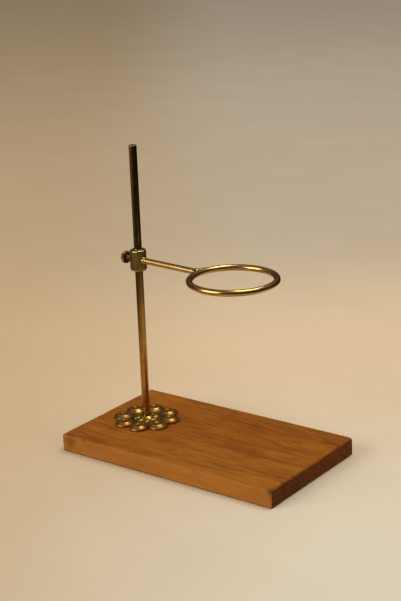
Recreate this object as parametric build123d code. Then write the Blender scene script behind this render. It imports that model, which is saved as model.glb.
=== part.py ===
from build123d import *
import os

# A small adjustable ring stand for heating glassware: a wooden base, an upright
# rod in a cast flower-shaped foot, and a clamp that carries a ring on an arm.
#
# Millimetres. Z is up. The origin is the centre of the base's underside, and X
# runs along the base, from the rod's end towards the ring.

# Base: two edge-glued staves
BASE_LENGTH = 257.0
BASE_WIDTH = 146.0
BASE_THICKNESS = 18.5
FRONT_STAVE_WIDTH = 58.0
BASE_EDGE_RADIUS = 1.0
BASE_CORNER_RADIUS = 2.5

# Rod: plain round bar with a reduced, threaded tail that goes through the base
ROD_X = -78.3
ROD_Y = 3.0
ROD_RADIUS = 3.97
ROD_TOP_Z = 309.0
ROD_TOP_CHAMFER = 0.5
TAIL_RADIUS = 3.175
TAIL_END_Z = 0.8
BASE_HOLE_RADIUS = 3.4

# Fastening under the base, in a counterbore
COUNTERBORE_RADIUS = 9.5
COUNTERBORE_DEPTH = 9.0
WASHER_RADIUS = 8.5
WASHER_THICKNESS = 1.2
LOCK_WASHER_RADIUS = 5.9
LOCK_WASHER_THICKNESS = 1.4
LOCK_WASHER_SLIT = 1.2
NUT_ACROSS_FLATS = 11.1
NUT_THICKNESS = 5.0
THREAD_CLEARANCE = 0.03

# Foot: cast eight-petal rosette, hollow underneath
PETALS = 8
PETAL_RADIUS = 9.8
PETAL_CENTRE_RADIUS = 25.2
PETAL_HEIGHT = 4.6
PETAL_EDGE_HEIGHT = 2.2
PETAL_CREST_RADIUS = 27.0
VALLEY_RADIUS = 16.0
VALLEY_HEIGHT = 2.6
HUB_BASE_RADIUS = 9.5
HUB_BASE_HEIGHT = 3.3
HUB_TOP_RADIUS = 5.6
HUB_HEIGHT = 5.0
SHOULDER_HEIGHT = 3.0
ROSETTE_WALL = 1.6
HOLLOW_INNER_RADIUS = 5.6
HOLLOW_OUTER_RADIUS = 23.0
PETAL_GROOVE_RADIUS = 1.1
PETAL_GROOVE_TILT = 3.0
PETAL_GROOVE_LIFT = 0.45
ROSETTE_TURN = -2.5
FIT_CLEARANCE = 0.05

# Clamp: boss, split sleeve, arm and ring
CLAMP_Z = 191.8
ARM_AZIMUTH = -4.6
BOSS_RADIUS = 8.5
BOSS_HEIGHT = 21.8
BOSS_EDGE_RADIUS = 1.7
SLEEVE_WALL = 0.6
SLEEVE_PROUD = 0.3
SLEEVE_SLIT = 0.8
ARM_RADIUS = 3.1
ARM_SPIGOT_DEPTH = 2.2
REACH = 124.1
RING_RADIUS = 42.1
WIRE_RADIUS = 3.175
ARM_BRAZE_RADIUS = 4.3
ARM_BRAZE_LENGTH = 1.6
RING_BRAZE_RADIUS = 4.7
RING_BRAZE_LENGTH = 6.0
RING_BRAZE_OVERLAP = 1.6

# Thumbscrew
STUD_RADIUS = 2.08
STUD_HOLE_CLEARANCE = 0.06
PAD_THICKNESS = 1.0
PAD_GAP = 0.05
HEAD_RADIUS = 6.35
HEAD_THICKNESS = 4.3
HEAD_INNER_FACE = 14.9
HEAD_EDGE_CHAMFER = 0.6
STUD_END_CHAMFER = 0.3

SLEEVE_INNER_RADIUS = ROD_RADIUS + FIT_CLEARANCE
SLEEVE_OUTER_RADIUS = SLEEVE_INNER_RADIUS + SLEEVE_WALL
BOSS_BORE_RADIUS = SLEEVE_OUTER_RADIUS + FIT_CLEARANCE
HUB_SHOULDER_Z = BASE_THICKNESS + SHOULDER_HEIGHT
CUT = 1.0


def on_rod(shape, z=0.0):
    """Place a shape modelled about the Z axis on the rod's axis."""
    return Pos(ROD_X, ROD_Y, z) * shape


def on_arm(shape):
    """Place a shape modelled along +X on the arm's axis, with X = 0 on the rod's axis."""
    return Pos(ROD_X, ROD_Y, CLAMP_Z) * Rot(0, 0, ARM_AZIMUTH) * shape


def disc(radius, height, z=0.0):
    """Upright cylinder standing on height z."""
    return Pos(0, 0, z) * Cylinder(radius, height, align=(Align.CENTER, Align.CENTER, Align.MIN))


def bar(radius, start, end):
    """Round bar along X from start to end."""
    lying = Rot(0, 90, 0) * Cylinder(radius, end - start, align=(Align.CENTER, Align.CENTER, Align.MIN))
    return Pos(start, 0, 0) * lying


def cone_bar(start_radius, end_radius, start, end):
    """Tapered round bar along X from start to end."""
    taper = Cone(start_radius, end_radius, end - start, align=(Align.CENTER, Align.CENTER, Align.MIN))
    return Pos(start, 0, 0) * Rot(0, 90, 0) * taper


def base_blank():
    """The whole glued board, with its edges eased and the rod's hole and counterbore cut."""
    board = Box(BASE_LENGTH, BASE_WIDTH, BASE_THICKNESS, align=(Align.CENTER, Align.CENTER, Align.MIN))
    board = fillet(board.edges().filter_by(Axis.Z), BASE_CORNER_RADIUS)
    top_and_bottom = board.faces().filter_by(Axis.Z)
    board = fillet(top_and_bottom.edges(), BASE_EDGE_RADIUS)
    hole = disc(BASE_HOLE_RADIUS, BASE_THICKNESS + 2 * CUT, -CUT)
    counterbore = disc(COUNTERBORE_RADIUS, COUNTERBORE_DEPTH + CUT, -CUT)
    return board - on_rod(hole + counterbore)


def staves():
    """The board parted at its glue line into a front and a back stave."""
    board = base_blank()
    glue_y = -BASE_WIDTH / 2 + FRONT_STAVE_WIDTH
    keep = Box(2 * BASE_LENGTH, BASE_WIDTH, 4 * BASE_THICKNESS, align=(Align.CENTER, Align.MAX, Align.CENTER))
    front_side = Pos(0, glue_y, 0) * keep
    return board & front_side, board - front_side


def rod():
    """Round bar, its tail turned down below a shoulder that sits in the foot's hub."""
    bar_length = ROD_TOP_Z - HUB_SHOULDER_Z
    shaft = disc(ROD_RADIUS, bar_length, HUB_SHOULDER_Z)
    shaft = chamfer(shaft.edges().sort_by(Axis.Z)[-1], ROD_TOP_CHAMFER)
    tail = disc(TAIL_RADIUS, HUB_SHOULDER_Z - TAIL_END_Z, TAIL_END_Z)
    return on_rod(shaft + tail)


def petal_outline():
    """Plan of the rosette: a central disc and a ring of round petals."""
    outline = Circle(PETAL_CENTRE_RADIUS)
    for petal in range(PETALS):
        angle = 360 * (petal + 0.5) / PETALS
        outline += Rot(0, 0, angle) * Pos(PETAL_CENTRE_RADIUS, 0) * Circle(PETAL_RADIUS)
    return outline


def rosette_section():
    """Half section of the casting's top surface: petal crest, valley and hub cone."""
    tip = PETAL_CENTRE_RADIUS + PETAL_RADIUS
    crest_edge = (PETAL_CREST_RADIUS + tip) / 2
    with BuildSketch(Plane.XZ) as section:
        with BuildLine():
            Polyline((0, HUB_HEIGHT), (0, 0), (tip + CUT, 0), (tip + CUT, PETAL_EDGE_HEIGHT - CUT))
            Spline(
                (tip + CUT, PETAL_EDGE_HEIGHT - CUT),
                (crest_edge, (PETAL_HEIGHT + PETAL_EDGE_HEIGHT) / 2 + CUT / 2),
                (PETAL_CREST_RADIUS, PETAL_HEIGHT),
                (VALLEY_RADIUS, VALLEY_HEIGHT),
                (HUB_BASE_RADIUS, HUB_BASE_HEIGHT),
                (HUB_TOP_RADIUS, HUB_HEIGHT),
            )
            Line((HUB_TOP_RADIUS, HUB_HEIGHT), (0, HUB_HEIGHT))
        make_face()
    return section.sketch


def foot_rosette():
    """Cast foot: puffed petals parted by open grooves, hollow below, bored for the rod."""
    plan = extrude(petal_outline(), HUB_HEIGHT + CUT)
    body = plan & revolve(rosette_section(), Axis.Z)
    groove = bar(PETAL_GROOVE_RADIUS, VALLEY_RADIUS, PETAL_CENTRE_RADIUS + PETAL_RADIUS)
    groove = Pos(0, 0, PETAL_HEIGHT + PETAL_GROOVE_LIFT) * Rot(0, PETAL_GROOVE_TILT, 0) * groove
    for petal in range(PETALS):
        body -= Rot(0, 0, 360 * petal / PETALS) * groove
    hollow = disc(HOLLOW_OUTER_RADIUS, VALLEY_HEIGHT - ROSETTE_WALL + CUT, -CUT)
    hollow -= disc(HOLLOW_INNER_RADIUS, HUB_HEIGHT, -CUT)
    bore = disc(BASE_HOLE_RADIUS, HUB_HEIGHT + 2 * CUT, -CUT)
    socket = disc(ROD_RADIUS + FIT_CLEARANCE, HUB_HEIGHT, SHOULDER_HEIGHT)
    turned = Rot(0, 0, ROSETTE_TURN) * (body - hollow - bore - socket)
    return on_rod(turned, BASE_THICKNESS)


def base_washer():
    """Flat washer against the counterbore's roof."""
    washer = disc(WASHER_RADIUS, WASHER_THICKNESS) - disc(BASE_HOLE_RADIUS, WASHER_THICKNESS)
    return on_rod(washer, COUNTERBORE_DEPTH - WASHER_THICKNESS)


def lock_washer():
    """Split spring washer, pressed flat."""
    ring = disc(LOCK_WASHER_RADIUS, LOCK_WASHER_THICKNESS) - disc(BASE_HOLE_RADIUS, LOCK_WASHER_THICKNESS)
    slit = Box(
        2 * LOCK_WASHER_RADIUS,
        LOCK_WASHER_SLIT,
        4 * LOCK_WASHER_THICKNESS,
        align=(Align.MIN, Align.CENTER, Align.CENTER),
    )
    return on_rod(ring - slit, COUNTERBORE_DEPTH - WASHER_THICKNESS - LOCK_WASHER_THICKNESS)


def base_nut():
    """Hexagon nut with its corners turned off at both ends."""
    hexagon = extrude(RegularPolygon(NUT_ACROSS_FLATS / 2, 6, major_radius=False), NUT_THICKNESS)
    round_off = disc(NUT_ACROSS_FLATS / 2 + 0.7, NUT_THICKNESS)
    round_off = chamfer(round_off.edges().filter_by(GeomType.CIRCLE), 0.6)
    nut = (hexagon & round_off) - disc(TAIL_RADIUS + THREAD_CLEARANCE, NUT_THICKNESS)
    top = COUNTERBORE_DEPTH - WASHER_THICKNESS - LOCK_WASHER_THICKNESS
    return on_rod(nut, top - NUT_THICKNESS)


def rod_sleeve():
    """Thin split sleeve on the rod, slit on the arm's side."""
    length = BOSS_HEIGHT + 2 * SLEEVE_PROUD
    tube = disc(SLEEVE_OUTER_RADIUS, length, -length / 2)
    tube -= disc(SLEEVE_INNER_RADIUS, length, -length / 2)
    slit = Box(2 * SLEEVE_OUTER_RADIUS, SLEEVE_SLIT, 2 * length, align=(Align.MIN, Align.CENTER, Align.CENTER))
    return on_arm(tube - slit)


def boss():
    """Turned collar with rounded ends, a tapped hole on one side and the arm's socket on the other."""
    collar = disc(BOSS_RADIUS, BOSS_HEIGHT, -BOSS_HEIGHT / 2)
    collar = fillet(collar.edges().filter_by(GeomType.CIRCLE), BOSS_EDGE_RADIUS)
    collar -= disc(BOSS_BORE_RADIUS, 2 * BOSS_HEIGHT, -BOSS_HEIGHT)
    collar -= bar(STUD_RADIUS + STUD_HOLE_CLEARANCE, -BOSS_RADIUS - CUT, 0)
    collar -= bar(ARM_RADIUS, BOSS_RADIUS - ARM_SPIGOT_DEPTH, BOSS_RADIUS + CUT)
    return on_arm(collar)


def ring_wire():
    """The ring about the arm frame's origin, before it is placed."""
    return Pos(REACH, 0, 0) * Torus(RING_RADIUS, WIRE_RADIUS)


def arm_bar():
    """The arm's round bar, its end coped to the ring."""
    root = BOSS_RADIUS - ARM_SPIGOT_DEPTH
    return bar(ARM_RADIUS, root, REACH - RING_RADIUS) - ring_wire()


def arm_braze():
    """Fillet of braze round the arm's root."""
    start = BOSS_RADIUS - WIRE_RADIUS / 2
    cone = cone_bar(ARM_BRAZE_RADIUS, ARM_RADIUS + 0.1, start, BOSS_RADIUS + ARM_BRAZE_LENGTH)
    solid_boss = disc(BOSS_RADIUS, BOSS_HEIGHT, -BOSS_HEIGHT / 2)
    return on_arm(cone - solid_boss - arm_bar())


def ring_braze():
    """Fillet of braze where the arm's end meets the ring."""
    end = REACH - RING_RADIUS - WIRE_RADIUS + RING_BRAZE_OVERLAP
    cone = cone_bar(ARM_RADIUS + 0.1, RING_BRAZE_RADIUS, end - RING_BRAZE_LENGTH, end)
    return on_arm(cone - ring_wire() - arm_bar())


def pressure_pad():
    """Loose slug between the screw's end and the sleeve."""
    start = -SLEEVE_OUTER_RADIUS - PAD_GAP - PAD_THICKNESS
    return on_arm(bar(STUD_RADIUS, start, start + PAD_THICKNESS))


def thumbscrew_stud():
    """Plain shank at the thread's outer diameter, fixed in the head."""
    end = -SLEEVE_OUTER_RADIUS - 2 * PAD_GAP - PAD_THICKNESS
    shank = bar(STUD_RADIUS, -HEAD_INNER_FACE - HEAD_THICKNESS / 2, end)
    shank = chamfer(shank.edges().sort_by(Axis.X)[-1], STUD_END_CHAMFER)
    return on_arm(shank)


def thumbscrew_head():
    """Round head with eased rims and a blind hole for the stud."""
    head = bar(HEAD_RADIUS, -HEAD_INNER_FACE - HEAD_THICKNESS, -HEAD_INNER_FACE)
    head = chamfer(head.edges().filter_by(GeomType.CIRCLE), HEAD_EDGE_CHAMFER)
    return on_arm(head - bar(STUD_RADIUS, -HEAD_INNER_FACE - HEAD_THICKNESS / 2, 0))


def write_parts():
    front, back = staves()
    parts = {
        "front_stave": front,
        "back_stave": back,
        "rod": rod(),
        "foot_rosette": foot_rosette(),
        "base_washer": base_washer(),
        "lock_washer": lock_washer(),
        "base_nut": base_nut(),
        "rod_sleeve": rod_sleeve(),
        "boss": boss(),
        "arm": on_arm(arm_bar()),
        "arm_braze": arm_braze(),
        "ring": on_arm(ring_wire()),
        "ring_braze": ring_braze(),
        "pressure_pad": pressure_pad(),
        "thumbscrew_stud": thumbscrew_stud(),
        "thumbscrew_head": thumbscrew_head(),
    }
    os.makedirs("parts", exist_ok=True)
    for name, shape in parts.items():
        export_step(shape, f"parts/{name}.step")


write_parts()
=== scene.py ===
from math import cos, pi, radians, sin, tau

import bmesh
import bpy
import numpy as np
from mathutils import Matrix, Vector, noise


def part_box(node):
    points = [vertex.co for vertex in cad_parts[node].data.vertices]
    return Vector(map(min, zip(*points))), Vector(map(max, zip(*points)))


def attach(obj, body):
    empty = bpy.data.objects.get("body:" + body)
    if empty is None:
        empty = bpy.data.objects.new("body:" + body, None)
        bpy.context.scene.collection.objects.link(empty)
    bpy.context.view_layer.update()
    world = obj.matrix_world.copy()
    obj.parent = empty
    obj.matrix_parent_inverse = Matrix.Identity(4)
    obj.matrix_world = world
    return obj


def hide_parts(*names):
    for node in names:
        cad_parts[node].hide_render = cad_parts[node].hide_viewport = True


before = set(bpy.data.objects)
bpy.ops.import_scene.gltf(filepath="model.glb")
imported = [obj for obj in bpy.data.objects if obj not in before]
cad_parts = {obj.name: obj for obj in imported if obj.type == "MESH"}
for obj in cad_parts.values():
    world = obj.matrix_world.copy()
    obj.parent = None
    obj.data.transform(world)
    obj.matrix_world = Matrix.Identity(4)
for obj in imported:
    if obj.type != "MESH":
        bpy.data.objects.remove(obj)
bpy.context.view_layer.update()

# A small brass ring stand on a wooden base. Everything is in metres, in the CAD model's frame:
# +Z up, +X along the base, from the rod's end towards the ring.
MM = 0.001


# ================================================================ places read from the frame

def centre_of(node):
    low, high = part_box(node)
    return (low + high) / 2


ROD_LOW, ROD_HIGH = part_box("rod")
ROD_AXIS = centre_of("rod")
ROD_RADIUS = (ROD_HIGH.x - ROD_LOW.x) / 2
CLAMP_CENTRE = centre_of("rod_sleeve")
RING_CENTRE = centre_of("ring")
WIRE_RADIUS = (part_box("ring")[1].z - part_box("ring")[0].z) / 2
RING_RADIUS = (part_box("ring")[1].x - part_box("ring")[0].x) / 2 - WIRE_RADIUS
REACH = (RING_CENTRE - CLAMP_CENTRE).length
ARM_AZIMUTH = Vector((1, 0)).angle_signed((RING_CENTRE - CLAMP_CENTRE).xy) * -1
BOSS_RADIUS = (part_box("boss")[1].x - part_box("boss")[0].x) / 2
ARM_RADIUS = (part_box("arm")[1].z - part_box("arm")[0].z) / 2
BASE_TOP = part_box("back_stave")[1].z

# The clamp's own frame: its origin is on the rod's axis at the arm's height, with X along the arm.
CLAMP_FRAME = Matrix.Translation(CLAMP_CENTRE) @ Matrix.Rotation(ARM_AZIMUTH, 4, "Z")
# The rod's own frame: X runs up the rod's axis from the base's underside.
ROD_FRAME = Matrix.Translation((ROD_AXIS.x, ROD_AXIS.y, 0)) @ Matrix.Rotation(-pi / 2, 4, "Y")


# ================================================================ materials

class Sheet:
    """A new material's node tree, with short calls for the nodes used in this scene."""

    def __init__(self, name):
        self.material = bpy.data.materials.new(name)
        self.material.use_nodes = True
        self.nodes = self.material.node_tree.nodes
        self.links = self.material.node_tree.links
        self.shader = self.nodes["Principled BSDF"]
        coordinates = self.nodes.new("ShaderNodeTexCoord")
        self.place = coordinates.outputs["Object"]
        self.normal = coordinates.outputs["Normal"]

    def feed(self, socket, value):
        if isinstance(value, bpy.types.NodeSocket):
            self.links.new(value, socket)
        else:
            socket.default_value = value

    def node(self, kind, output, inputs, **settings):
        made = self.nodes.new(kind)
        for key, value in settings.items():
            setattr(made, key, value)
        for key, value in inputs.items():
            self.feed(made.inputs[key], value)
        return made.outputs[output]

    def math(self, operation, first, second=0.0, third=0.0):
        inputs = {0: first, 1: second, 2: third}
        return self.node("ShaderNodeMath", 0, inputs, operation=operation)

    def vector_math(self, operation, first, second, output="Vector"):
        return self.node("ShaderNodeVectorMath", output, {0: first, 1: second}, operation=operation)

    def part(self, vector, axis):
        return self.node("ShaderNodeSeparateXYZ", axis, {0: vector})

    def stretched(self, scale, shift=(0, 0, 0)):
        """The object's coordinates, shifted and then scaled along each axis."""
        moved = self.vector_math("ADD", self.place, shift)
        return self.vector_math("MULTIPLY", moved, scale)

    def noise(self, vector, detail=3.0, roughness=0.5):
        inputs = {"Vector": vector, "Scale": 1.0, "Detail": detail, "Roughness": roughness}
        return self.node("ShaderNodeTexNoise", "Fac", inputs)

    def between(self, value, low, high, out_low=0.0, out_high=1.0):
        """value's range low to high, carried smoothly to out_low to out_high."""
        inputs = {"Value": value, "From Min": low, "From Max": high, "To Min": out_low, "To Max": out_high}
        return self.node("ShaderNodeMapRange", "Result", inputs, interpolation_type="SMOOTHSTEP")

    def mix(self, share, first, second):
        """first, with share of second in it. Sockets 6 and 7 are the Mix node's two colours."""
        inputs = {0: share, 6: first, 7: second}
        return self.node("ShaderNodeMix", 2, inputs, data_type="RGBA")

    def bump(self, height, strength, distance, under=None):
        inputs = {"Height": height, "Strength": strength, "Distance": distance}
        if under is not None:
            inputs["Normal"] = under
        return self.node("ShaderNodeBump", "Normal", inputs)

    def finish(self, colour, roughness, normal, **uniform):
        self.feed(self.shader.inputs["Base Color"], colour)
        self.feed(self.shader.inputs["Roughness"], roughness)
        self.feed(self.shader.inputs["Normal"], normal)
        for key, value in uniform.items():
            self.shader.inputs[key.replace("_", " ")].default_value = value
        return self.material


YEAR_WIDTH = 4.4 * MM
# Painted light: a tone paler than the top, for faces turned along Y.
PAINTED_SIDE_LIGHT_TONE = (0.44, 0.175, 0.034, 1)


def times(colour, factor):
    """A colour made brighter or darker."""
    return tuple(factor * c for c in colour[:3]) + (1,)


def wood(name, heart, tones, shift):
    """Stained and oiled hardwood, grown in rings about a heart line along X.

    heart is the line's Y and Z. tones are the pale, middle and deep stain, and the end grain.
    """
    pale, mid, deep, end = tones
    s = Sheet(name)
    off_heart = s.vector_math("SUBTRACT", s.place, (0, heart[0], heart[1]))
    across = s.vector_math("MULTIPLY", off_heart, (0, 1, 1))
    radius = s.vector_math("LENGTH", across, (0, 0, 0), output="Value")
    sway = s.noise(s.stretched((5, 22, 22), shift), detail=3)
    ripple = s.noise(s.stretched((30, 160, 160), shift), detail=2)
    grown = s.math("MULTIPLY_ADD", sway, 0.013, radius)
    grown = s.math("MULTIPLY_ADD", ripple, 0.0014, grown)
    year = s.math("FRACT", s.math("MULTIPLY", grown, 1 / YEAR_WIDTH))
    late = s.between(year, 0.35, 0.97)
    late = s.math("MULTIPLY", late, s.between(year, 0.97, 1.0, 1, 0))
    broad = s.noise(s.stretched((11, 42, 42), shift), detail=4, roughness=0.55)
    blotch = s.noise(s.stretched((26, 75, 75), shift), detail=3, roughness=0.6)
    streak = s.noise(s.stretched((3.5, 95, 40), shift), detail=3)
    fleck = s.noise(s.stretched((42, 330, 330), shift), detail=4, roughness=0.65)
    fibre = s.noise(s.stretched((45, 1500, 1500), shift), detail=3)
    pore = s.noise(s.stretched((170, 2600, 2600), shift), detail=1)
    pores = s.between(pore, 0.60, 0.72)

    colour = s.mix(s.between(broad, 0.34, 0.66), mid, pale)
    colour = s.mix(s.math("MULTIPLY", late, 0.20), colour, deep)
    colour = s.mix(s.between(blotch, 0.52, 0.72, 0, 0.50), colour, deep)
    colour = s.mix(s.between(streak, 0.56, 0.76, 0, 0.55), colour, deep)
    colour = s.mix(s.between(fleck, 0.53, 0.68, 0, 0.60), colour, deep)
    colour = s.mix(s.between(fleck, 0.30, 0.46, 0.35, 0), colour, times(pale, 1.35))
    colour = s.mix(s.between(fibre, 0.3, 0.7, 0.30, 0.0), colour, deep)
    colour = s.mix(s.math("MULTIPLY", pores, 0.30), colour, deep)

    # Painted light: faces turned along Y are made paler than the top.
    side = s.between(s.math("ABSOLUTE", s.part(s.normal, "Y")), 0.6, 1.0, 0.0, 0.42)
    colour = s.mix(side, colour, PAINTED_SIDE_LIGHT_TONE)

    along = s.math("ABSOLUTE", s.part(s.normal, "X"))
    end_grain = s.between(along, 0.62, 0.93)
    saw = s.noise(s.stretched((40, 90, 1400), shift), detail=2)
    end_tone = s.mix(s.math("MULTIPLY", late, 0.6), end, times(end, 0.45))
    end_tone = s.mix(s.between(blotch, 0.40, 0.65, 0.0, 0.6), end_tone, deep)
    end_tone = s.mix(s.between(saw, 0.52, 0.75, 0.0, 0.45), end_tone, times(end, 2.4))
    colour = s.mix(end_grain, colour, end_tone)

    # Darkens rubbed edges, chips, dents and the glue line, and paints a contact shadow along the foot.
    wear_and_shade_mark = s.node("ShaderNodeAttribute", "Fac", {}, attribute_name="wear_and_painted_shade")
    colour = s.mix(s.math("MULTIPLY", wear_and_shade_mark, 0.75), colour, times(deep, 0.30))

    roughness = s.between(fibre, 0.25, 0.75, 0.46, 0.64)
    roughness = s.math("MULTIPLY_ADD", end_grain, 0.16, roughness)
    height = s.math("MULTIPLY_ADD", pores, -0.7, fibre)
    height = s.math("MULTIPLY_ADD", late, 0.35, height)
    height = s.math("ADD", height, s.math("MULTIPLY", s.math("MULTIPLY", saw, end_grain), 1.6))
    normal = s.bump(height, 0.35, 0.12 * MM)
    return s.finish(colour, roughness, normal, Specular_IOR_Level=0.1)


def brass(name, bright, dull, stain_and_shade_tone, roughness, marks, relief=0.06, grime_and_shade_strength=0.0, stained=0.4):
    """Aged brass, from bright metal to dull, with spots of stain, and darker where the mesh marks dirt in
    hollows and painted shade.

    marks is the stretch of its fine tool marks along X, Y and Z, in marks per metre.
    """
    s = Sheet(name)
    tint = s.noise(s.stretched((34, 34, 34), (0.5, 0.6, 0.1)), detail=2)
    cloud = s.noise(s.stretched((90, 90, 90)), detail=5, roughness=0.6)
    freckle = s.noise(s.stretched((420, 420, 420), (0.3, 0.1, 0.2)), detail=4, roughness=0.6)
    line = s.noise(s.stretched(marks), detail=3, roughness=0.6)
    smear = s.noise(s.stretched((22, 22, 22), (0.7, 0.2, 0.4)), detail=3)
    red, green, blue = bright[:3]
    warm = (red * 1.04, green * 0.86, blue * 0.80, 1)
    olive = (red * 0.80, green * 0.92, blue * 0.95, 1)
    colour = s.mix(s.between(tint, 0.34, 0.66), olive, warm)
    colour = s.mix(s.between(cloud, 0.36, 0.70, 0.0, 0.8), colour, dull)
    spots = s.math("MULTIPLY", s.between(freckle, 0.58, 0.72), s.between(smear, 0.42, 0.66))
    colour = s.mix(s.math("MULTIPLY", spots, stained), colour, stain_and_shade_tone)
    # This mark holds dirt in hollows and, on the rosette and thumbscrew head, painted shade; it darkens the
    # metal towards the stain tone.
    hollow_and_painted_shade = s.node("ShaderNodeAttribute", "Fac", {}, attribute_name="hollow_and_painted_shade")
    if grime_and_shade_strength:
        dirt_and_shade = s.math("MULTIPLY", hollow_and_painted_shade, s.between(cloud, 0.25, 0.7, 1.0, 0.6))
        colour = s.mix(s.math("MULTIPLY", dirt_and_shade, grime_and_shade_strength), colour, stain_and_shade_tone)
    rough = s.between(cloud, 0.3, 0.7, roughness, roughness + 0.08)
    rough = s.math("MULTIPLY_ADD", spots, 0.20, rough)
    rough = s.math("ADD", rough, s.between(line, 0.4, 0.7, 0.0, 0.05))
    if grime_and_shade_strength:
        rough = s.math("MULTIPLY_ADD", hollow_and_painted_shade, 0.18, rough)
    worked = s.bump(line, relief * 2, 0.03 * MM)
    normal = s.bump(s.math("MULTIPLY_ADD", spots, -0.6, freckle), relief, 0.05 * MM, under=worked)
    return s.finish(colour, rough, normal, Metallic=1.0)


def zinc_steel(name):
    """Zinc-plated steel with a dull crystalline bloom and a little rust."""
    s = Sheet(name)
    bloom = s.noise(s.stretched((260, 260, 260)), detail=5, roughness=0.65)
    rust = s.noise(s.stretched((120, 120, 120), (0.4, 0.4, 0.1)), detail=4)
    scratch = s.noise(s.stretched((3000, 200, 300)), detail=2)
    colour = s.mix(s.between(bloom, 0.35, 0.65), (0.50, 0.50, 0.50, 1), (0.32, 0.32, 0.33, 1))
    colour = s.mix(s.between(rust, 0.60, 0.72, 0, 0.7), colour, (0.13, 0.055, 0.02, 1))
    rough = s.between(bloom, 0.3, 0.7, 0.34, 0.52)
    normal = s.bump(scratch, 0.2, 0.03 * MM)
    return s.finish(colour, rough, normal, Metallic=1.0)


# Colours are linear RGB.
BACK_TONES = (
    (0.330, 0.112, 0.008, 1), (0.240, 0.072, 0.005, 1),
    (0.120, 0.030, 0.003, 1), (0.130, 0.034, 0.002, 1),
)
FRONT_TONES = (
    (0.345, 0.124, 0.011, 1), (0.262, 0.085, 0.007, 1),
    (0.130, 0.035, 0.004, 1), (0.100, 0.025, 0.002, 1),
)
YELLOW_BRASS = (0.68, 0.44, 0.155, 1)
OLIVE_BRASS = (0.44, 0.29, 0.09, 1)
DULL_BRASS = (0.34, 0.23, 0.09, 1)
ROD_BRIGHT = (0.43, 0.26, 0.07, 1)
ROD_DULL = (0.32, 0.185, 0.05, 1)
CAST_BRIGHT = (0.66, 0.36, 0.085, 1)
CAST_DULL = (0.38, 0.195, 0.04, 1)
BOSS_BRIGHT = (0.44, 0.31, 0.13, 1)
BRAZE_BRIGHT = (0.52, 0.36, 0.14, 1)
SCREW_BRIGHT = (0.36, 0.24, 0.095, 1)
SCREW_DULL = (0.26, 0.165, 0.06, 1)
BROWN_PATINA = (0.10, 0.055, 0.018, 1)
# Also the tone of the painted shade on the rosette and the thumbscrew head.
BLACK_PATINA_AND_SHADE = (0.030, 0.018, 0.008, 1)

# How fine the tool marks are along X, Y and Z, in marks per metre.
DRAWN_MARKS = (900, 900, 9)
LATHE_MARKS = (2600, 160, 160)
CAST_MARKS = (300, 300, 300)
BENT_MARKS = (500, 500, 500)
FILED_MARKS = (900, 900, 45)


def make_materials():
    return {
        "back_wood": wood("back_wood", (0.030, -0.062), BACK_TONES, (0.31, 0.17, 0.23)),
        "front_wood": wood("front_wood", (-0.082, -0.040), FRONT_TONES, (1.42, 0.61, 0.85)),
        "rod": brass("rod_brass", ROD_BRIGHT, ROD_DULL, BROWN_PATINA, 0.13, DRAWN_MARKS),
        "rosette": brass(
            "rosette_brass", CAST_BRIGHT, CAST_DULL, BLACK_PATINA_AND_SHADE, 0.24, CAST_MARKS, grime_and_shade_strength=0.9
        ),
        "boss": brass("boss_brass", BOSS_BRIGHT, DULL_BRASS, BROWN_PATINA, 0.27, FILED_MARKS, relief=0.3),
        "ring": brass("ring_brass", YELLOW_BRASS, OLIVE_BRASS, BROWN_PATINA, 0.17, BENT_MARKS),
        "arm": brass(
            "arm_brass", YELLOW_BRASS, OLIVE_BRASS, BROWN_PATINA, 0.24, BENT_MARKS, relief=0.015, stained=0.2
        ),
        "braze": brass(
            "braze_metal", BRAZE_BRIGHT, OLIVE_BRASS, BROWN_PATINA, 0.22, CAST_MARKS, relief=0.12
        ),
        "screw": brass(
            "screw_brass", SCREW_BRIGHT, SCREW_DULL, BLACK_PATINA_AND_SHADE, 0.34, LATHE_MARKS, relief=0.12, grime_and_shade_strength=1.0
        ),
        "steel": zinc_steel("zinc_steel"),
    }


# ================================================================ mesh building

def closed_mesh(name, points, faces, place=Matrix.Identity(4)):
    """A smooth-shaded object whose faces all look outwards."""
    mesh = bpy.data.meshes.new(name)
    mesh.from_pydata([tuple(p) for p in points], [], [tuple(f) for f in faces])
    tidy = bmesh.new()
    tidy.from_mesh(mesh)
    bmesh.ops.remove_doubles(tidy, verts=tidy.verts, dist=1e-7)
    bmesh.ops.recalc_face_normals(tidy, faces=tidy.faces)
    tidy.to_mesh(mesh)
    tidy.free()
    mesh.transform(place)
    mesh.polygons.foreach_set("use_smooth", [True] * len(mesh.polygons))
    made = bpy.data.objects.new(name, mesh)
    bpy.context.scene.collection.objects.link(made)
    return made


def crease(piece, angle):
    """Keeps edges sharper than angle degrees crisp in the smooth shading."""
    piece.data.set_sharp_from_angle(angle=radians(angle))


def grid_faces(rows, columns, wrap_rows, wrap_columns):
    """Quads over a grid of points stored row by row."""
    faces = []
    for i in range(rows if wrap_rows else rows - 1):
        for j in range(columns if wrap_columns else columns - 1):
            after_i, after_j = (i + 1) % rows, (j + 1) % columns
            corners = (i, j), (i, after_j), (after_i, after_j), (after_i, j)
            faces.append(tuple(a * columns + b for a, b in corners))
    return faces


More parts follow.
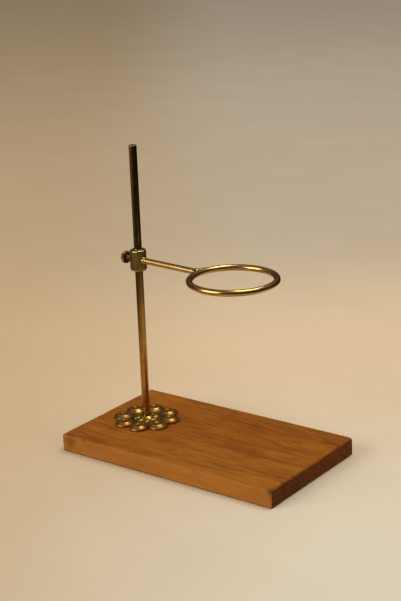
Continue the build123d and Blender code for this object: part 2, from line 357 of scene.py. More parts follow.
def turned(name, stations, segments, place, shape=None):
    """A closed solid of revolution about X.

    stations are (x, radius), and shape(x, angle, radius) may alter the radius.
    """
    x, radius = np.array(stations, float).T
    angle = np.linspace(0, tau, segments, endpoint=False)
    x, radius, angle = x[:, None] + 0 * angle, radius[:, None] + 0 * angle, 0 * x[:, None] + angle
    if shape is not None:
        radius = shape(x, angle, radius)
    points = np.stack([x, radius * np.cos(angle), radius * np.sin(angle)], -1).reshape(-1, 3)
    rows = len(stations)
    faces = grid_faces(rows, segments, False, True)
    start, end = len(points), len(points) + 1
    points = np.vstack([points, (x[0, 0], 0, 0), (x[-1, 0], 0, 0)])
    last = (rows - 1) * segments
    for j in range(segments):
        after = (j + 1) % segments
        faces.append((start, after, j))
        faces.append((end, last + j, last + after))
    return closed_mesh(name, points, faces, place)


def thread(pitch, depth, low, high, run_out):
    """A shape for turned(): a V thread between low and high, faded over run_out at each end."""
    def cut(x, angle, radius):
        turn = (x / pitch - angle / tau) % 1.0
        valley = 1 - np.abs(2 * turn - 1)
        fade = np.clip(np.minimum(x - low, high - x) / run_out, 0, 1)
        return radius - depth * valley * fade
    return cut


def smooth_curve(at, knots):
    """Height at each position along a smooth curve through knots, which are (position, height)."""
    x, y = np.array(knots, float).T
    step = np.diff(x)
    slope = np.diff(y) / step
    tangent = np.concatenate([slope[:1], (slope[1:] + slope[:-1]) / 2, slope[-1:]])
    k = np.clip(np.searchsorted(x, at) - 1, 0, len(step) - 1)
    t = np.clip((at - x[k]) / step[k], 0, 1)
    return (
        (2 * t**3 - 3 * t**2 + 1) * y[k]
        + (t**3 - 2 * t**2 + t) * step[k] * tangent[k]
        + (3 * t**2 - 2 * t**3) * y[k + 1]
        + (t**3 - t**2) * step[k] * tangent[k + 1]
    )


def mark(piece, name, values):
    """Stores one number for each vertex, for the material to read."""
    attribute = piece.data.attributes.new(name, "FLOAT", "POINT")
    attribute.data.foreach_set("value", np.clip(np.asarray(values, np.float32), 0, 1))


def vertices(piece):
    return np.array([v.co for v in piece.data.vertices], float)


def set_vertices(piece, points):
    piece.data.vertices.foreach_set("co", np.asarray(points, np.float32).ravel())
    piece.data.update()


def noise_at(points, size, seed):
    """Smooth noise from -1 to 1 at each point, with features about size metres across."""
    shift = Vector((seed * 3.7, seed * 1.9, seed * 5.3))
    return np.array([noise.noise(Vector(p) / size + shift) for p in points])


def applied(piece):
    """Applies the piece's modifiers to its mesh."""
    bpy.context.view_layer.update()
    graph = bpy.context.evaluated_depsgraph_get()
    final = bpy.data.meshes.new_from_object(piece.evaluated_get(graph))
    piece.modifiers.clear()
    piece.data = final


def belongs(piece, material, slot, body, *nodes):
    """Gives a finished piece its material, the CAD nodes it stands for and its body. slot is not used."""
    piece.data.materials.clear()
    piece.data.materials.append(material)
    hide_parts(*nodes)
    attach(piece, body)


# ================================================================ wooden base

END_ROUNDING = 2.4 * MM
SIDE_ROUNDING = 1.1 * MM
TOP_ROUNDING = 2.0 * MM
FOOT_ROUNDING = 1.7 * MM
GLUE_ROUNDING = 0.05 * MM
EDGE_GUARD = 0.25 * MM
BOARD_STEP = 2.2 * MM
RUB_SIZE = 9 * MM
RUB_DEPTH = 0.35 * MM
NICK_SIZE = 2.6 * MM
NICK_DEPTH = 1.8 * MM
COUNTERBORE_MARGIN = 1.0 * MM
TAIL_HOLE_SHARE = 0.86
CUT_PAST = 2 * MM


def grid_lines(low, high, low_rounding, high_rounding):
    """Positions along one axis: evenly spaced, and close together where the edges are rounded."""
    ease = 1 - np.cos(np.linspace(0, pi / 2, 6))
    count = max(2, round((high - low - low_rounding - high_rounding) / BOARD_STEP))
    middle = np.linspace(low + low_rounding, high - high_rounding, count + 1)
    beside = low + low_rounding + EDGE_GUARD, high - high_rounding - EDGE_GUARD
    lines = low + low_rounding * ease, middle, beside, high - high_rounding * ease
    return np.unique(np.concatenate(lines).round(9))


def worn_board(name, low, high, rounding, knocks, seed):
    """A plank with rounded, worn edges, and a painted contact shadow along its foot.

    rounding is (low, high) for each axis, and knocks are (point, radius, depth).
    """
    lines = [grid_lines(low[i], high[i], *rounding[i]) for i in range(3)]
    points, faces = [], []
    for axis in range(3):
        first, second = (axis + 1) % 3, (axis + 2) % 3
        u, v = np.meshgrid(lines[first], lines[second], indexing="ij")
        for side in (low[axis], high[axis]):
            sheet = np.zeros((u.size, 3))
            sheet[:, first], sheet[:, second], sheet[:, axis] = u.ravel(), v.ravel(), side
            quads = grid_faces(*u.shape, False, False)
            faces += [tuple(len(points) + k for k in quad) for quad in quads]
            points.extend(sheet)
    points = np.array(points)
    radii = np.array([[max(r, 1e-9) for r in pair] for pair in rounding])
    inner_low = np.array(low) + radii[:, 0]
    inner_high = np.array(high) - radii[:, 1]
    core = np.clip(points, inner_low, inner_high)
    out = points - core
    size = np.where(out < 0, radii[:, 0], radii[:, 1])
    away = out / size
    length = np.linalg.norm(away, axis=1)[:, None]
    direction = away / np.maximum(length, 1e-9)
    points = core + size * direction
    edge = np.clip(np.sort(np.abs(direction), axis=1)[:, 1] * 1.6, 0, 1)
    big = size.max(axis=1) > 2 * GLUE_ROUNDING
    rub = np.clip(noise_at(points, RUB_SIZE, seed) + 0.25, 0, 1) * edge * big
    nick = np.clip(noise_at(points, NICK_SIZE, seed + 1) - 0.22, 0, 1) * edge * big
    at_end = np.clip(np.abs(direction[:, 0]) * 1.5, 0.3, 1)
    inward = rub * RUB_DEPTH + nick * at_end * NICK_DEPTH
    glued = (size.min(axis=1) <= 2 * GLUE_ROUNDING) * (np.abs(away).max(axis=1) > 0.02) * (edge > 0.1)
    # Painted shadow: a dark band up the lowest FOOT_ROUNDING of each board. The rest of the mark darkens
    # rubbed edges, chips, dents and the glue line.
    painted_foot_shadow = np.clip((FOOT_ROUNDING - points[:, 2]) / FOOT_ROUNDING, 0, 1)
    wear_and_painted_shade = 0.22 * rub + 0.9 * nick * at_end + 0.2 * glued + 0.8 * painted_foot_shadow
    for at, radius, depth in knocks:
        near = np.clip(1 - np.linalg.norm(points - np.array(at), axis=1) / radius, 0, 1)
        inward += depth * near**1.5
        wear_and_painted_shade += near * (0.7 + 0.6 * noise_at(points, 2.2 * MM, seed + 2))
    points = points - direction * inward[:, None]
    board = closed_mesh(name, points, faces)
    found = {tuple(np.round(p, 7)): w for p, w in zip(points, wear_and_painted_shade)}
    mark(board, "wear_and_painted_shade", [found.get(tuple(np.round(np.array(v.co), 7)), 0.0) for v in board.data.vertices])
    return board


def carve_fastener_hole(board):
    """Cuts the hole for the rod's threaded tail, and the counterbore below it."""
    washer_low, washer_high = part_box("base_washer")
    counterbore = (washer_high.x - washer_low.x) / 2 + COUNTERBORE_MARGIN
    hole = ROD_RADIUS * TAIL_HOLE_SHARE
    profile = (
        (-CUT_PAST, counterbore), (washer_high.z, counterbore),
        (washer_high.z, hole), (BASE_TOP + CUT_PAST, hole),
    )
    cutter = turned("counterbore_cutter", profile, 96, ROD_FRAME)
    cut = board.modifiers.new("counterbore", "BOOLEAN")
    cut.operation, cut.object, cut.solver = "DIFFERENCE", cutter, "EXACT"
    applied(board)
    bpy.data.objects.remove(cutter)
    board.data.polygons.foreach_set("use_smooth", [True] * len(board.data.polygons))
    crease(board, 40)


def make_base(materials):
    front_low, front_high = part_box("front_stave")
    back_low, back_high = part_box("back_stave")
    ends, tops = (END_ROUNDING, END_ROUNDING), (FOOT_ROUNDING, TOP_ROUNDING)
    near_corner = (front_high.x, front_low.y, front_high.z)
    front_knocks = [
        (near_corner, 8 * MM, 1.0 * MM),
        ((front_high.x - 1.5 * MM, front_low.y + 3.5 * MM, front_high.z), 7 * MM, 0.9 * MM),
        ((front_high.x, front_low.y + 21 * MM, front_high.z), 5 * MM, 0.8 * MM),
        ((front_low.x + 30 * MM, front_low.y, front_high.z), 4 * MM, 0.4 * MM),
        ((front_low.x + 11 * MM, front_low.y, 12 * MM), 10 * MM, 0.3 * MM),
    ]
    back_knocks = [
        ((back_high.x, back_low.y + 9 * MM, back_high.z), 5 * MM, 0.7 * MM),
        ((back_high.x, back_high.y, back_high.z), 5 * MM, 0.8 * MM),
        ((back_low.x, back_high.y - 20 * MM, back_high.z), 4 * MM, 0.5 * MM),
    ]
    front = worn_board(
        "front_board", front_low, front_high, (ends, (SIDE_ROUNDING, GLUE_ROUNDING), tops), front_knocks, 1
    )
    back = worn_board(
        "back_board", back_low, back_high, (ends, (GLUE_ROUNDING, SIDE_ROUNDING), tops), back_knocks, 5
    )
    carve_fastener_hole(back)
    belongs(front, materials["front_wood"], "wood_front", "stand", "front_stave")
    belongs(back, materials["back_wood"], "wood_back", "stand", "back_stave")


# ================================================================ cast rosette

# The rosette's sizes are in millimetres, up to make_rosette's points.
PETALS = 8
PETAL_RADIUS = 9.8
PETAL_CENTRE = 25.2
BORE_RADIUS = 4.02
ROSETTE_TURN = radians(-2.5)
LOBE_CENTRE = 8.9
LOBE_HALF_LENGTH = 3.9
LOBE_HALF_WIDTH = 2.75
LOBE_FOOT = 2.3
LOBE_RISE = 1.6
CAST_BLEND = 0.25
# Heights: at each radius from the rod outwards, and from a petal's centre, at 0, to its rim, at 1.
HUB_SECTION = ((4.0, 4.9), (5.2, 4.9), (6.4, 3.9), (9.0, 2.7), (13.0, 2.1), (18.0, 1.7), (26.0, 1.2))
PETAL_SECTION = (
    (0.0, 3.6), (0.22, 3.85), (0.46, 4.6), (0.62, 4.3), (0.78, 3.0),
    (0.87, 2.45), (0.93, 2.6), (0.98, 2.1), (1.0, 1.5),
)


def smooth_max(first, second, blend):
    return (first + second + np.sqrt((first - second) ** 2 + blend**2)) / 2


def off_nearest(angle, count, phase):
    """The signed angle from each given angle to the nearest of count directions, the first at phase."""
    pitch = tau / count
    return (angle - phase + pitch / 2) % pitch - pitch / 2


def rosette_height(radius, angle):
    """Height in millimetres of the casting's top, with petals on the multiples of 45 degrees."""
    off = off_nearest(angle, PETALS, 0)
    from_centre = np.hypot(radius * np.cos(off) - PETAL_CENTRE, radius * np.sin(off)) / PETAL_RADIUS
    petal = smooth_curve(from_centre, PETAL_SECTION) - 6 * np.maximum(from_centre - 1, 0)
    between = off_nearest(angle, PETALS, pi / PETALS)
    along = (radius * np.cos(between) - LOBE_CENTRE) / LOBE_HALF_LENGTH
    from_lobe = np.hypot(along, radius * np.sin(between) / LOBE_HALF_WIDTH)
    dome = np.sqrt(np.maximum(1 - from_lobe**2, 0))
    lobe = LOBE_FOOT + LOBE_RISE * dome - 3 * np.maximum(from_lobe - 1, 0)
    height = smooth_max(smooth_curve(radius, HUB_SECTION), lobe, CAST_BLEND)
    return smooth_max(height, petal, CAST_BLEND)


def make_rosette(materials):
    around, across = 64 * PETALS, 110
    angle = np.linspace(0, tau, around, endpoint=False)[None, :]
    share = np.linspace(0, 1, across)[:, None]
    off = off_nearest(angle, PETALS, 0)
    outline = PETAL_CENTRE * np.cos(off) + np.sqrt(PETAL_RADIUS**2 - (PETAL_CENTRE * np.sin(off)) ** 2)
    radius = BORE_RADIUS + share * (outline - BORE_RADIUS)
    height = rosette_height(radius, angle)
    # Darker in the low grooves and round the bore, as patina and grime.
    hollow_and_painted_shade = np.clip((2.75 - height) / 0.8, 0, 1) * np.clip((outline - radius) / 1.2, 0, 1)
    hollow_and_painted_shade = hollow_and_painted_shade + np.clip((5.0 - radius) / 0.8, 0, 1)
    # Painted shade: the lower parts of the petals, beyond 18 mm, are darkened.
    hollow_and_painted_shade = hollow_and_painted_shade + np.clip((4.2 - height) / 2, 0, 0.6) * (radius > 18)
    edge, rim, flat = outline, height[-1:], 0 * outline
    radius = np.vstack([radius, edge + 0.12, edge + 0.05, edge - 0.5, flat + BORE_RADIUS])
    height = np.vstack([height, rim * 0.65, rim * 0.12, flat, flat])
    # Painted shadow: the rim wall and underside are marked dark.
    hollow_and_painted_shade = np.vstack([hollow_and_painted_shade, flat + 0.3, flat + 1, flat + 1, flat + 1])
    points = np.stack([radius * np.cos(angle), radius * np.sin(angle), height], -1).reshape(-1, 3) * MM
    uneven = 0.07 * noise_at(points, 5 * MM, 3) + 0.035 * noise_at(points, 1.8 * MM, 4)
    lifted = (points[:, 2] > 0.5 * MM) * (np.hypot(points[:, 0], points[:, 1]) > 6 * MM)
    points[:, 2] += uneven * MM * lifted
    faces = grid_faces(len(radius), around, True, True)
    turn = Matrix.Rotation(ROSETTE_TURN + pi / PETALS, 4, "Z")
    place = Matrix.Translation((ROD_AXIS.x, ROD_AXIS.y, BASE_TOP)) @ turn
    rosette = closed_mesh("rosette_casting", points, faces, place)
    mark(rosette, "hollow_and_painted_shade", hollow_and_painted_shade.ravel())
    crease(rosette, 60)
    belongs(rosette, materials["rosette"], "cast_brass", "stand", "foot_rosette")


# ================================================================ rod

SHOULDER_RISE = 3.0 * MM
TAIL_RADIUS = 3.175 * MM
TAIL_CHAMFER = 0.7 * MM
TAIL_THREAD_START = 0.8 * MM
TAIL_THREAD_RISE = 4 * MM
TAIL_PITCH = 1.27 * MM
TAIL_THREAD_DEPTH = 0.62 * MM
ROD_END_ROUNDING = 0.8 * MM


def make_rod(materials):
    """The rod, with a rounded top end, a shoulder in the rosette and a threaded tail."""
    top, low = ROD_HIGH.z, ROD_LOW.z
    shoulder = BASE_TOP + SHOULDER_RISE
    thread_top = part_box("base_washer")[1].z + TAIL_THREAD_RISE
    threaded = np.arange(low + TAIL_THREAD_START, thread_top, TAIL_PITCH / 10)
    plain = np.linspace(shoulder, top - ROD_END_ROUNDING, 90)[1:]
    stations = [(low, TAIL_RADIUS - TAIL_CHAMFER), (low + TAIL_CHAMFER, TAIL_RADIUS)]
    stations += [(x, TAIL_RADIUS) for x in threaded]
    stations += [(shoulder, TAIL_RADIUS), (shoulder, ROD_RADIUS)]
    stations += [(x, ROD_RADIUS) for x in plain]
    for t in np.linspace(0, pi / 2, 7)[1:]:
        drop, inset = ROD_END_ROUNDING * (1 - sin(t)), ROD_END_ROUNDING * (1 - cos(t))
        stations.append((top - drop, ROD_RADIUS - inset))
    cut = thread(TAIL_PITCH, TAIL_THREAD_DEPTH, low + 0.5 * MM, thread_top, 0.9 * MM)
    rod = turned("rod_bar", stations, 64, ROD_FRAME, cut)
    crease(rod, 35)
    belongs(rod, materials["rod"], "rod_brass", "stand", "rod")


# ================================================================ clamp: boss, ring, braze and thumbscrew

BOSS_HEIGHT = 21.8 * MM
BOSS_BORE = 4.67 * MM
BOSS_ROUNDING = 1.7 * MM
BOSS_LIP = 0.35 * MM


def make_boss(materials):
    """Turned collar, its side filed to slight flats and its ends rounded over."""
    half = BOSS_HEIGHT / 2
    profile = [(x, BOSS_RADIUS) for x in np.linspace(0, half - BOSS_ROUNDING, 8)[:-1]]
    for t in np.linspace(0, pi / 2, 9):
        drop, inset = BOSS_ROUNDING * (1 - sin(t)), BOSS_ROUNDING * (1 - cos(t))
        profile.append((half - drop, BOSS_RADIUS - inset))
    profile += [(half, BOSS_BORE + BOSS_LIP), (half - BOSS_LIP, BOSS_BORE), (0, BOSS_BORE)]
    profile = np.array(profile)
    profile = np.vstack([profile[::-1] * (-1, 1), profile])
    angle = np.linspace(0, tau, 160, endpoint=False)
    along = profile[:, :1] + 0 * angle
    # In millimetres: three waves round the boss, less the sum of their heights, so it only cuts inwards.
    flats = 0.15 * np.sin(5 * angle + 0.7) + 0.17 * np.sin(8 * angle + 2.1) + 0.06 * np.sin(13 * angle) - 0.38
    outside = np.clip((profile[:, 1:] - BOSS_BORE - BOSS_LIP) / (2 * MM), 0, 1)
    across = profile[:, 1:] + outside * flats * MM
    points = np.stack([across * np.cos(angle), across * np.sin(angle), along], -1).reshape(-1, 3)
    boss = closed_mesh("boss_collar", points, grid_faces(len(profile), len(angle), True, True), CLAMP_FRAME)
    crease(boss, 50)
    belongs(boss, materials["boss"], "boss_brass", "clamp", "boss")


def make_ring(materials):
    """Round wire bent by hand to a circle, so very slightly uneven."""
    around, across = 288, 40
    t = np.linspace(0, tau, around, endpoint=False)[:, None]
    p = np.linspace(0, tau, across, endpoint=False)[None, :]
    bend = RING_RADIUS - 0.12 * MM + 0.10 * MM * np.sin(2 * t + 0.6) + 0.06 * MM * np.sin(5 * t + 2.0)
    lift = 0.07 * MM * np.sin(2 * t + 1.9) + 0.04 * MM * np.sin(3 * t)
    wire = WIRE_RADIUS - 0.03 * MM + 0.02 * MM * np.sin(7 * t + 2 * p)
    out = bend + wire * np.cos(p)
    points = np.stack([REACH + out * np.cos(t), out * np.sin(t), lift + wire * np.sin(p)], -1)
    faces = grid_faces(around, across, True, True)
    ring = closed_mesh("ring_wire", points.reshape(-1, 3), faces, CLAMP_FRAME)
    belongs(ring, materials["ring"], "ring_brass", "clamp", "ring")


def blobs(name, lumps, voxel, place):
    """One closed skin over overlapping lumps. Each lump is (centre, half sizes), in millimetres."""
    shape = bmesh.new()
    for centre, half in lumps:
        scale = Matrix.Diagonal((*(h * MM for h in half), 1))
        matrix = Matrix.Translation(Vector(centre) * MM) @ scale
        bmesh.ops.create_icosphere(shape, subdivisions=3, radius=1, matrix=matrix)
    mesh = bpy.data.meshes.new(name)
    shape.to_mesh(mesh)
    shape.free()
    made = bpy.data.objects.new(name, mesh)
    bpy.context.scene.collection.objects.link(made)
    skin = made.modifiers.new("skin", "REMESH")
    skin.mode, skin.voxel_size, skin.use_smooth_shade = "VOXEL", voxel * MM, True
    soften = made.modifiers.new("soften", "SMOOTH")
    soften.factor, soften.iterations = 0.5, 6
    applied(made)
    points = vertices(made)
    normals = np.array([v.normal for v in made.data.vertices])
    rough = 0.10 * noise_at(points, 1.3 * MM, 11) + 0.05 * noise_at(points, 0.6 * MM, 12)
    set_vertices(made, points + normals * rough[:, None] * MM)
    made.data.transform(place)
    made.data.polygons.foreach_set("use_smooth", [True] * len(made.data.polygons))
    return made


def make_braze(materials):
    """Braze where the arm meets the ring and the boss, as lumps in millimetres in the clamp's frame."""
    near = (REACH - RING_RADIUS) / MM
    root = BOSS_RADIUS / MM
    arm = ARM_RADIUS / MM
    at_ring = [
        ((near - 5.2, 0, 0), (3.2, arm + 0.7, arm + 0.65)),
        ((near - 2.9, 0.2, 0), (3.0, arm + 1.9, arm + 1.15)),
        ((near - 0.9, 4.0, 0.5), (2.8, 4.2, 3.5)),
        ((near - 0.9, -3.8, 0.3), (2.6, 3.8, 3.4)),
        ((near + 0.1, 8.4, 0.9), (2.0, 3.2, 2.7)),
        ((near - 3.4, -2.2, 2.2), (1.7, 1.5, 1.4)),
    ]
    at_boss = [
        ((root - 0.7, 0, 0), (1.7, arm + 0.95, arm + 0.95)),
        ((root + 0.5, 0, 0.1), (1.4, arm + 0.42, arm + 0.42)),
    ]
    ring_joint = blobs("ring_joint_braze", at_ring, 0.28, CLAMP_FRAME)
    boss_joint = blobs("boss_joint_braze", at_boss, 0.22, CLAMP_FRAME)
    belongs(ring_joint, materials["braze"], "braze", "clamp", "ring_braze")
    belongs(boss_joint, materials["braze"], "braze", "clamp", "arm_braze")


KNURLS = 40
KNURL_DEPTH = 0.42 * MM
KNURL_RUN_OUT = 0.35 * MM
KNURL_INNER_RADIUS = 5.5 * MM
HEAD_THICKNESS = 4.3 * MM
STUD_RADIUS = 2.08 * MM
STUD_PITCH = 0.794 * MM
STUD_THREAD_DEPTH = 0.38 * MM
STUD_CHAMFER = 0.28 * MM


def knurl(edge_low, edge_high):
    """A shape for turned(): straight knurling round the rim between edge_low and edge_high."""
    def cut(x, angle, radius):
        fade = np.clip(np.minimum(x - edge_low, edge_high - x) / KNURL_RUN_OUT, 0, 1)
        rim = np.clip((radius - KNURL_INNER_RADIUS) / (0.5 * MM), 0, 1)
        wave = np.abs(((angle * KNURLS / tau) % 1.0) * 2 - 1)
        return radius - KNURL_DEPTH * wave * fade * rim
    return cut


def in_clamp_frame(piece):
    """Each vertex's place along the clamp's X, and its distance from that line."""
    local = np.array([CLAMP_FRAME.inverted() @ v.co for v in piece.data.vertices])
    return local[:, 0], np.hypot(local[:, 1], local[:, 2])


def make_screw_head(materials, across):
    """A knurled head with a dished inner face. Gives the place of that face along across."""
    low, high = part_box("thumbscrew_head")
    radius = (high.z - low.z) / 2
    middle = ((low + high) / 2 - CLAMP_CENTRE).dot(across)
    outer, inner = middle - HEAD_THICKNESS / 2, middle + HEAD_THICKNESS / 2
    outer_face = [
        (outer + 0.25 * MM, 0.6 * MM), (outer + 0.12 * MM, 2.4 * MM), (outer, 4.4 * MM),
        (outer + 0.05 * MM, radius - 1.3 * MM), (outer + 0.22 * MM, radius - 0.75 * MM),
        (outer + 0.55 * MM, radius - 0.25 * MM), (outer + 0.8 * MM, radius),
    ]
    rim = [(x, radius) for x in np.linspace(outer + 1.0 * MM, inner - 0.9 * MM, 9)]
    inner_face = [
        (inner - 0.6 * MM, radius - 0.15 * MM), (inner - 0.2 * MM, radius - 0.6 * MM),
        (inner, radius - 1.0 * MM), (inner - 0.1 * MM, radius - 1.4 * MM),
        (inner - 0.75 * MM, radius - 2.1 * MM), (inner - 0.8 * MM, STUD_RADIUS + 0.9 * MM),
        (inner - 0.2 * MM, STUD_RADIUS + 0.55 * MM), (inner, STUD_RADIUS + 0.3 * MM),
    ]
    cut = knurl(outer + 0.55 * MM, inner - 0.45 * MM)
    head = turned("thumbscrew_knob", outer_face + rim + inner_face, KNURLS * 8, CLAMP_FRAME, cut)
    crease(head, 28)
    along, reach = in_clamp_frame(head)
    # Painted shade: the inner face, turned to the boss, is marked dark; the knurl valleys are dark with
    # grime.
    painted_face_shade = (along > inner - 1.0 * MM) * (reach < radius - 0.5 * MM)
    valleys = (reach > radius - 1.0 * MM) * (radius - reach) / KNURL_DEPTH
    mark(head, "hollow_and_painted_shade", 1.0 * painted_face_shade + 0.8 * valleys)
    belongs(head, materials["screw"], "screw_brass", "thumbscrew", "thumbscrew_head")
    return inner


def make_screw_stud(materials, across, inner):
    """The threaded stud, from inside the head to its end near the rod."""
    near_end = max((Vector(p) - CLAMP_CENTRE).xy.dot(across.xy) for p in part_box("thumbscrew_stud"))
    shank_x = np.arange(inner - 1.5 * MM, near_end - 0.3 * MM, STUD_PITCH / 10)
    stations = [(x, STUD_RADIUS) for x in shank_x]
    stations += [(near_end - STUD_CHAMFER, STUD_RADIUS), (near_end, STUD_RADIUS - STUD_CHAMFER)]
    cut = thread(STUD_PITCH, STUD_THREAD_DEPTH, inner + 0.3 * MM, near_end, 0.5 * MM)
    shank = turned("thumbscrew_shank", stations, 48, CLAMP_FRAME, cut)
    crease(shank, 50)
    reach = in_clamp_frame(shank)[1]
    mark(shank, "hollow_and_painted_shade", (STUD_RADIUS - reach) / STUD_THREAD_DEPTH)
    belongs(shank, materials["screw"], "screw_brass", "thumbscrew", "thumbscrew_stud")


def make_thumbscrew(materials):
    """The head and its stud. X runs inwards along the clamp's frame, towards the rod."""
    across = Matrix.Rotation(ARM_AZIMUTH, 4, "Z") @ Vector((1, 0, 0))
    inner = make_screw_head(materials, across)
    make_screw_stud(materials, across, inner)


def dress_cad_nodes(materials):
    """Materials for the CAD nodes whose shape is already right."""
    finishes = {
        "arm": "arm", "rod_sleeve": "ring", "pressure_pad": "screw",
        "base_washer": "steel", "lock_washer": "steel", "base_nut": "steel",
    }
    for node, finish in finishes.items():
        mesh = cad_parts[node].data
        mesh.materials.clear()
        mesh.materials.append(materials[finish])


# ================================================================ stage

FLOOR_RADIUS = 9.0
CAMERA_PLACE = (0.8107, -1.0717, 0.5942)
CAMERA_PITCH, CAMERA_YAW, CAMERA_ROLL = radians(17.83), radians(-37.10), radians(-2.21)
CAMERA_LENS = 86.3
LIGHT_TARGET = (0, 0, 0.1)
WORLD_TONE = (0.66, 0.61, 0.53, 1)
WORLD_REFLECTED_LOW = (0.035, 0.028, 0.020, 1)
WORLD_REFLECTED_HIGH = (0.30, 0.26, 0.20, 1)
WORLD_STRENGTH = 0.62


# Floor tones for painted light and shade: paler near and in the middle, darker behind and to the left.
FLOOR_NEAR = (0.655, 0.61, 0.51, 1)
FLOOR_MIDDLE = (0.68, 0.545, 0.385, 1)
FLOOR_BEHIND_SHADE = (0.51, 0.44, 0.35, 1)
FLOOR_FAR = (0.62, 0.545, 0.45, 1)
FLOOR_LEFT_SHADE = (0.50, 0.37, 0.22, 1)
FLOOR_FOLD_SHADE = (0.3, 0.2, 0.1, 1)
FLOOR_REFLECTED = (0.012, 0.009, 0.006, 1)


def floor_material():
    """A pale table, with painted light and shade in broad bands along and across the camera's viewing
    direction.

    The bands are fixed on the floor. Reflections see it nearly black beyond the object.
    """
    s = Sheet("pale_floor_painted_light")
    depth_axis = (sin(CAMERA_YAW), cos(CAMERA_YAW), 0)
    side_axis = (cos(CAMERA_YAW), -sin(CAMERA_YAW), 0)
    depth = s.vector_math("DOT_PRODUCT", s.place, depth_axis, output="Value")
    side = s.vector_math("DOT_PRODUCT", s.place, side_axis, output="Value")
    off = s.vector_math("LENGTH", s.place, (0, 0, 0), output="Value")
    # Painted light and shade in bands: paler near and in the middle, darker behind, darker to the left.
    colour = s.mix(s.between(depth, -0.3, 0.30), FLOOR_NEAR, FLOOR_MIDDLE)
    colour = s.mix(s.between(depth, 0.30, 0.85), colour, FLOOR_BEHIND_SHADE)
    colour = s.mix(s.between(depth, 0.7, 2.6), colour, FLOOR_FAR)
    colour = s.mix(s.between(side, -0.30, 0.15, 0.75, 0.0), colour, FLOOR_LEFT_SHADE)
    weave = s.noise(s.stretched((900, 900, 900)), detail=2)
    # Painted shade of soft folds, at most 5 percent darker.
    painted_fold_shade = s.noise(s.stretched((6, 9, 6)), detail=2)
    colour = s.mix(s.between(painted_fold_shade, 0.3, 0.7, 0.05, 0.0), colour, FLOOR_FOLD_SHADE)
    # Painted reflection: glossy rays see the floor nearly black beyond 0.2 to 0.6 metres, a little less so on
    # the left.
    reflected = s.node("ShaderNodeLightPath", "Is Glossy Ray", {})
    dim = s.math("MULTIPLY", reflected, s.between(off, 0.20, 0.60))
    left = s.between(s.part(s.place, "X"), -0.9, -0.4, 0.78, 1.0)
    colour = s.mix(s.math("MULTIPLY", dim, left), colour, FLOOR_REFLECTED)
    normal = s.bump(weave, 0.1, 0.1 * MM)
    return s.finish(colour, 0.9, normal, Specular_IOR_Level=0.1)


def make_floor():
    shape = bmesh.new()
    bmesh.ops.create_circle(shape, cap_ends=True, segments=96, radius=FLOOR_RADIUS)
    mesh = bpy.data.meshes.new("floor")
    shape.to_mesh(mesh)
    shape.free()
    floor = bpy.data.objects.new("floor", mesh)
    bpy.context.scene.collection.objects.link(floor)
    mesh.materials.append(floor_material())


def soft_light(name, place, width, height, power, colour):
    """A rectangular area light that faces LIGHT_TARGET."""
    data = bpy.data.lights.new(name, "AREA")
    data.shape, data.size, data.size_y = "RECTANGLE", width, height
    data.energy, data.color = power, colour
    light = bpy.data.objects.new(name, data)
    light.location = place
    light.rotation_euler = (Vector(LIGHT_TARGET) - Vector(place)).to_track_quat("-Z", "Y").to_euler()
    bpy.context.scene.collection.objects.link(light)


def make_lights():
    soft_light(
        "key_left_front", place=(-1.5, -3.2, 1.7), width=3.0, height=2.2, power=104, colour=(1.0, 0.94, 0.85)
    )
    soft_light(
        "overhead", place=(0.5, 0.6, 2.6), width=1.8, height=1.4, power=38, colour=(1.0, 0.90, 0.78)
    )


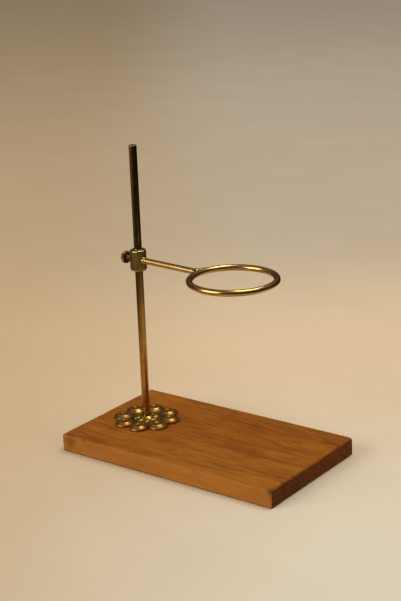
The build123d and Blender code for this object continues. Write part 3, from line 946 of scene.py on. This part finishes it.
def make_world():
    """A pale studio. Reflections see it darker, and darkest near the horizon."""
    world = bpy.data.worlds.new("studio")
    world.use_nodes = True
    bpy.context.scene.world = world
    nodes, links = world.node_tree.nodes, world.node_tree.links
    background = nodes["Background"]
    path = nodes.new("ShaderNodeLightPath")
    place = nodes.new("ShaderNodeTexCoord")
    height = nodes.new("ShaderNodeSeparateXYZ")
    rise = nodes.new("ShaderNodeMapRange")
    rise.interpolation_type = "SMOOTHSTEP"
    rise.inputs["From Min"].default_value = 0.05
    rise.inputs["From Max"].default_value = 0.75
    reflected = nodes.new("ShaderNodeMix")
    shade = nodes.new("ShaderNodeMix")
    reflected.data_type = shade.data_type = "RGBA"
    reflected.inputs[6].default_value = WORLD_REFLECTED_LOW
    reflected.inputs[7].default_value = WORLD_REFLECTED_HIGH
    shade.inputs[6].default_value = WORLD_TONE
    links.new(place.outputs["Generated"], height.inputs[0])
    links.new(height.outputs["Z"], rise.inputs["Value"])
    links.new(rise.outputs[0], reflected.inputs[0])
    links.new(reflected.outputs[2], shade.inputs[7])
    links.new(path.outputs["Is Glossy Ray"], shade.inputs[0])
    links.new(shade.outputs[2], background.inputs["Color"])
    background.inputs["Strength"].default_value = WORLD_STRENGTH


def make_camera():
    """The camera, at the photograph's viewing angle. back points from the object to the camera."""
    back = Vector((
        -sin(CAMERA_YAW) * cos(CAMERA_PITCH), -cos(CAMERA_YAW) * cos(CAMERA_PITCH), sin(CAMERA_PITCH)
    ))
    level = Vector((cos(CAMERA_YAW), -sin(CAMERA_YAW), 0))
    upright = back.cross(level)
    right = cos(CAMERA_ROLL) * level + sin(CAMERA_ROLL) * upright
    up = back.cross(right)
    data = bpy.data.cameras.new("camera")
    data.lens, data.clip_start = CAMERA_LENS, 0.01
    camera = bpy.data.objects.new("camera", data)
    camera.matrix_world = Matrix((
        (right.x, up.x, back.x, CAMERA_PLACE[0]),
        (right.y, up.y, back.y, CAMERA_PLACE[1]),
        (right.z, up.z, back.z, CAMERA_PLACE[2]),
        (0, 0, 0, 1),
    ))
    bpy.context.scene.collection.objects.link(camera)
    bpy.context.scene.camera = camera


materials = make_materials()
make_base(materials)
make_rosette(materials)
make_rod(materials)
make_boss(materials)
make_ring(materials)
make_braze(materials)
make_thumbscrew(materials)
dress_cad_nodes(materials)
make_floor()
make_lights()
make_world()
make_camera()
bpy.context.scene.view_settings.view_transform = "Standard"
